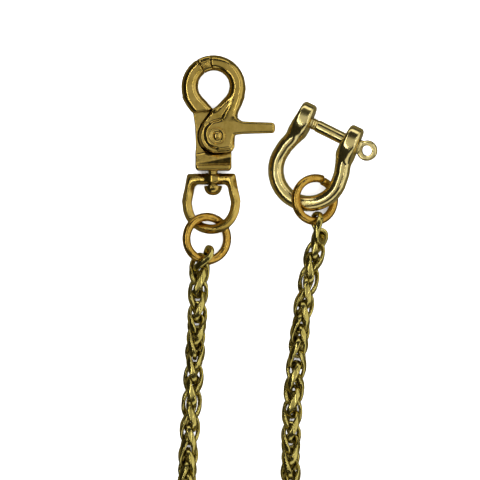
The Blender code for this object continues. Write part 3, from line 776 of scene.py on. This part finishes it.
def link_mesh(hand):
    """One closed link of flattened wire: its two long bars are wider, and flat on their outside."""
    angles = np.linspace(0.0, 2 * math.pi, 721)
    c, s = np.cos(angles), np.sin(angles)
    across = LINK_HALF_WIDTH * np.sign(c) * np.abs(c) ** (2 / LINK_ROUNDNESS)
    along = np.sign(s) * np.abs(s) ** (2 / LINK_ROUNDNESS)
    twist = hand * math.radians(LINK_TWIST_DEG) * along
    line = np.stack([across * np.cos(twist), across * np.sin(twist), LINK_HALF_LENGTH * along], 1)
    gone = np.concatenate([[0.0], np.cumsum(np.linalg.norm(np.diff(line, axis=0), axis=1))])
    stops = np.linspace(0.0, gone[-1], LINK_STATIONS, endpoint=False)
    line = np.stack([np.interp(stops, gone, line[:, axis]) for axis in range(3)], 1)
    reach = line[:, 2] / LINK_HALF_LENGTH
    twist = hand * math.radians(LINK_TWIST_DEG) * reach
    tangent = np.roll(line, -1, axis=0) - np.roll(line, 1, axis=0)
    tangent /= np.linalg.norm(tangent, axis=1)[:, None]
    normal = np.stack([-np.sin(twist), np.cos(twist), np.zeros_like(twist)], 1)
    normal -= tangent * np.sum(normal * tangent, axis=1)[:, None]
    normal /= np.linalg.norm(normal, axis=1)[:, None]
    outward = np.cross(tangent, normal)
    outward *= np.sign(np.sum(outward * line, axis=1))[:, None]
    bar = 1.0 - np.clip(np.abs(reach), 0.0, 1.0) ** 2
    wide = 0.57 + 0.36 * bar
    thick = 0.56 + 0.02 * bar
    rings = []
    for point, n, b, w, t in zip(line, normal, outward, wide, thick):
        ring = []
        for phi in np.linspace(0.0, 2 * math.pi, LINK_SIDES, endpoint=False):
            side = math.copysign(abs(math.cos(phi)) ** LINK_BAR_POWER, math.cos(phi))
            out = math.copysign(abs(math.sin(phi)) ** LINK_BAR_POWER, math.sin(phi))
            ring.append(point + n * w * side + b * t * min(out, LINK_FLAT))
        rings.append(ring)
    return loft(rings, True)


def outward_faces(points, faces):
    """The same faces, all turned to face out of the closed mesh."""
    volume = 0.0
    for face in faces:
        first = points[face[0]]
        for a, b in zip(face[1:], face[2:]):
            volume += float(np.dot(first, np.cross(points[a], points[b])))
    return faces if volume > 0 else [tuple(reversed(face)) for face in faces]


def moved(points, place):
    """The points taken through a matrix."""
    rows = np.array(place)
    return points @ rows[:3, :3].T + rows[:3, 3]


def strand_place(route, side, index):
    """The place of one link of a strand, counted from the strand's ring."""
    if side == "left":
        place = link_place(route, index * LINK_PITCH, 1.0, LEFT_ROLL[0] + LEFT_ROLL[1] * index)
        lies = LEFT_END_LIE
    else:
        distance = route.length - index * LINK_PITCH
        place = link_place(route, distance, -1.0, RIGHT_ROLL[0] + RIGHT_ROLL[1] * index)
        lies = RIGHT_END_LIE
    return lie_askew(place, lies[index]) if index < len(lies) else place


def build_chain():
    """Every link: one piece each along the two strands, and seven to a piece round the bend."""
    route = Route(chain_route())
    shapes = []
    for hand in (1, -1):
        points, faces = link_mesh(hand)
        shapes.append((points, outward_faces(points, faces)))
    for side, count in (("left", LEFT_LINKS), ("right", RIGHT_LINKS)):
        for index in range(count):
            points, faces = shapes[index % 2]
            body = f"{side}_link_{index + 1:02d}"
            add_piece(body + "_facets", moved(points, strand_place(route, side, index)), faces,
                      "chain_brass", body, [body], sharp_deg=LINK_SHARP_DEG)
    first, last = LEFT_LINKS, LINK_COUNT - RIGHT_LINKS
    start_roll = LEFT_ROLL[0] + LEFT_ROLL[1] * (first - 1)
    end_roll = -RIGHT_ROLL[0] - RIGHT_ROLL[1] * (RIGHT_LINKS - 1)
    steps = last - first + 1
    mean_step = (LEFT_ROLL[1] + RIGHT_ROLL[1]) / 2
    half_turns = round((mean_step * steps - end_roll + start_roll) / 180.0)
    roll_step = (end_roll - start_roll + 180.0 * half_turns) / steps
    per_run = (last - first) // RUNS
    for run in range(RUNS):
        all_points, all_faces = [], []
        for index in range(first + run * per_run, first + (run + 1) * per_run):
            points, faces = shapes[index % 2]
            roll = start_roll + roll_step * (index - first + 1)
            base = sum(len(part) for part in all_points)
            all_points.append(moved(points, link_place(route, index * LINK_PITCH, 1.0, roll)))
            all_faces += [tuple(base + v for v in face) for face in faces]
        name = f"chain_run_{run + 1}"
        add_piece(name + "_links", np.concatenate(all_points), all_faces, "chain_brass", name,
                  [name], sharp_deg=LINK_SHARP_DEG)


# ---------------------------------------------------------------- stage

VIEW_CENTRE = (6.97, -19.5)
VIEW_SIDE = 124.8
LENS_MM = 180.0
SENSOR_MM = 36.0
FLOOR_SIDE = 6000.0
LIGHT_AIM = (0.007, -0.02, 0.0)
WASH_STRENGTH = 10.0
WASH_SPREAD_DEG = 175.0


def build_floor():
    """A plain pale table top."""
    bpy.ops.mesh.primitive_plane_add(size=FLOOR_SIDE * MM)
    floor = bpy.context.object
    floor.name = "floor"
    material = bpy.data.materials.new("pale_floor")
    material.use_nodes = True
    shader = material.node_tree.nodes["Principled BSDF"]
    shader.inputs["Base Color"].default_value = (0.86, 0.86, 0.86, 1.0)
    shader.inputs["Roughness"].default_value = 0.9
    floor.data.materials.append(material)
    floor.visible_glossy = False


def softbox(name, place, size, radiance):
    """A rectangular softbox of one brightness, in metres, turned to face the object.

    A box at the side has its first size along the table and its second one up and down.
    """
    light = bpy.data.lights.new(name, "AREA")
    light.shape = "RECTANGLE"
    light.size, light.size_y = size
    light.energy = radiance * math.pi * size[0] * size[1]
    lamp = bpy.data.objects.new(name, light)
    lamp.location = place
    lamp.rotation_euler = (Vector(LIGHT_AIM) - Vector(place)).to_track_quat("-Z", "Y").to_euler()
    bpy.context.scene.collection.objects.link(lamp)


def build_lights():
    """Softboxes for the metal to reflect, and a wash that lights the floor but isn't reflected."""
    softbox("overhead_softbox", (0.05, 0.0, 1.20), (0.90, 1.3), 0.46)
    softbox("right_softbox", (0.90, 0.05, 0.52), (2.0, 0.80), 0.85)
    softbox("right_strip", (0.50, 0.05, 1.00), (1.3, 0.06), 4.5)
    softbox("left_strip", (-0.50, 0.05, 1.00), (1.3, 0.07), 6.0)
    softbox("far_softbox", (0.0, 0.95, 0.45), (1.1, 0.35), 1.2)
    softbox("near_softbox", (0.20, -0.90, 0.50), (1.1, 0.40), 0.8)
    wash = bpy.data.lights.new("floor_wash", "SUN")
    wash.energy = WASH_STRENGTH
    wash.angle = math.radians(WASH_SPREAD_DEG)
    lamp = bpy.data.objects.new("floor_wash", wash)
    bpy.context.scene.collection.objects.link(lamp)
    lamp.visible_glossy = False


def build_world():
    """A dark room above the table's edge, and the dim light of the table below it."""
    world = bpy.context.scene.world or bpy.data.worlds.new("studio")
    bpy.context.scene.world = world
    world.use_nodes = True
    nodes, links = world.node_tree.nodes, world.node_tree.links
    direction = nodes.new("ShaderNodeTexCoord").outputs["Generated"]
    split = nodes.new("ShaderNodeSeparateXYZ")
    links.new(direction, split.inputs[0])
    sky = nodes["Background"]
    sky.inputs["Color"].default_value = (1.0, 0.92, 0.62, 1.0)
    strength = ramp(nodes, links, split.outputs["Z"], -0.08, 0.02, 0.16, 0.02)
    links.new(strength, sky.inputs["Strength"])
    bpy.context.scene.view_settings.view_transform = "Standard"


def build_camera():
    """A long lens looking straight down, as in the photograph."""
    camera = bpy.data.cameras.new("camera")
    camera.lens = LENS_MM
    camera.sensor_width = SENSOR_MM
    height = VIEW_SIDE * LENS_MM / SENSOR_MM
    holder = bpy.data.objects.new("camera", camera)
    holder.location = Vector((*VIEW_CENTRE, height)) * MM
    bpy.context.scene.collection.objects.link(holder)
    bpy.context.scene.camera = holder


def build_hidden_spring():
    """Gives the spring, which keeps its CAD shape, the drawn steel finish."""
    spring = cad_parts["jaw_spring"]
    for slot in spring.material_slots:
        slot.material = MATERIALS["spring_steel"]


build_snap_body()
build_trigger_jaw()
build_rivet()
build_stud()
build_hidden_spring()
build_swivel_eye()
build_ring("snap_jump_ring", SNAP_RING)
build_ring("shackle_jump_ring", SHACKLE_RING)
build_bow()
build_pin()
build_chain()
build_floor()
build_lights()
build_world()
build_camera()
